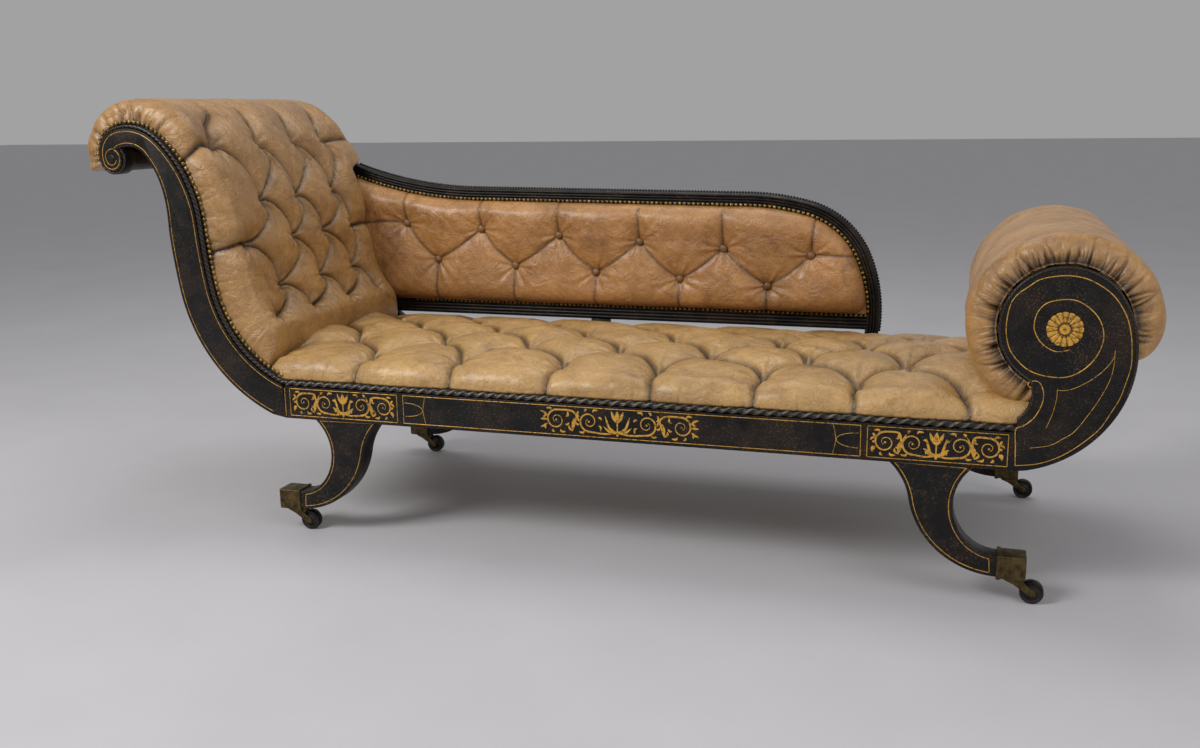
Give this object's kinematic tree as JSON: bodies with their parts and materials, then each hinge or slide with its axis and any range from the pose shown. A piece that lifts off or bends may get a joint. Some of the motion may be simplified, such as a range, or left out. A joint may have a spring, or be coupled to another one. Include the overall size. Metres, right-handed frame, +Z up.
{
  "type": "recamier",
  "caption": "Recamier sofa with a high scrolled head, round bolster foot, low buttoned back, painted wood frame and sabre legs on swivel castors.",
  "frame": {"origin": "middle of the rectangle that the sofa covers on the floor, at floor level", "axes": "+X from the head end to the foot end, +Y from the front to the wall side, +Z up"},
  "size_m": [1.9938, 0.62, 0.8473],
  "materials": {
    "ebonised_wood": "black japanned wood with brown wear and gilt lines",
    "moulding_wood": "black rope-twist moulding, worn at the edges",
    "beech": "bare sawn beech inside the frame",
    "gilt": "rubbed gilding",
    "tan_leather": "tan hide, semi-gloss, aged",
    "jute_webbing": "plain woven jute",
    "hessian": "open plain weave",
    "aged_brass": "cast brass with a dark patina",
    "castor_wheel": "turned wheel, nearly black"
  },
  "bodies": {
    "root": {"back_buttons": "tan_leather", "back_end_stile": "ebonised_wood", "back_lower_rail": "ebonised_wood", "back_outer_cover": "tan_leather", "back_pad": "tan_leather", "back_seat_rail": "ebonised_wood", "back_support": "ebonised_wood", "back_top_rail": "ebonised_wood", "back_webbing": "jute_webbing", "castor_sockets": "aged_brass", "corner_blocks": "beech", "foot_cross_rail": "beech", "foot_front_board": "ebonised_wood", "foot_laths": "beech", "foot_outer_panel": "ebonised_wood", "foot_patera": "gilt", "foot_rear_board": "ebonised_wood", "foot_roll_pad": "tan_leather", "front_seat_rail": "ebonised_wood", "head_crest_rail": "ebonised_wood", "head_cross_rail": "beech", "head_front_board": "ebonised_wood", "head_moulding": "moulding_wood", "head_outer_cover": "tan_leather", "head_pad": "tan_leather", "head_rear_board": "ebonised_wood", "head_slats": "beech", "legs": "ebonised_wood", "rail_moulding": "moulding_wood", "seat_base_cloth": "hessian", "seat_pad": "tan_leather", "seat_stretchers": "beech", "seat_webbing": "jute_webbing"},
    "castor_front_head": {"fork_front_head": "aged_brass"},
    "roller_front_head": {"wheel_front_head": "castor_wheel"},
    "castor_front_foot": {"fork_front_foot": "aged_brass"},
    "roller_front_foot": {"wheel_front_foot": "castor_wheel"},
    "castor_rear_head": {"fork_rear_head": "aged_brass"},
    "roller_rear_head": {"wheel_rear_head": "castor_wheel"},
    "castor_rear_foot": {"fork_rear_foot": "aged_brass"},
    "roller_rear_foot": {"wheel_rear_foot": "castor_wheel"}
  },
  "joints": [
    {"name": "swivel_front_head", "type": "hinge", "parent": "root", "child": "castor_front_head", "pos_m": [-0.56905, -0.288, 0.044], "axis": [0, 0, 1], "continuous": true},
    {"name": "roll_front_head", "type": "hinge", "parent": "castor_front_head", "child": "roller_front_head", "pos_m": [-0.53504, -0.288, 0.0195], "axis": [0, 1, 0], "continuous": true},
    {"name": "swivel_front_foot", "type": "hinge", "parent": "root", "child": "castor_front_foot", "pos_m": [0.79095, -0.288, 0.044], "axis": [0, 0, 1], "continuous": true},
    {"name": "roll_front_foot", "type": "hinge", "parent": "castor_front_foot", "child": "roller_front_foot", "pos_m": [0.82495, -0.288, 0.0195], "axis": [0, 1, 0], "continuous": true},
    {"name": "swivel_rear_head", "type": "hinge", "parent": "root", "child": "castor_rear_head", "pos_m": [-0.56905, 0.288, 0.044], "axis": [0, 0, 1], "continuous": true},
    {"name": "roll_rear_head", "type": "hinge", "parent": "castor_rear_head", "child": "roller_rear_head", "pos_m": [-0.53504, 0.288, 0.0195], "axis": [0, 1, 0], "continuous": true},
    {"name": "swivel_rear_foot", "type": "hinge", "parent": "root", "child": "castor_rear_foot", "pos_m": [0.79095, 0.288, 0.044], "axis": [0, 0, 1], "continuous": true},
    {"name": "roll_rear_foot", "type": "hinge", "parent": "castor_rear_foot", "child": "roller_rear_foot", "pos_m": [0.82495, 0.288, 0.0195], "axis": [0, 1, 0], "continuous": true}
  ]
}
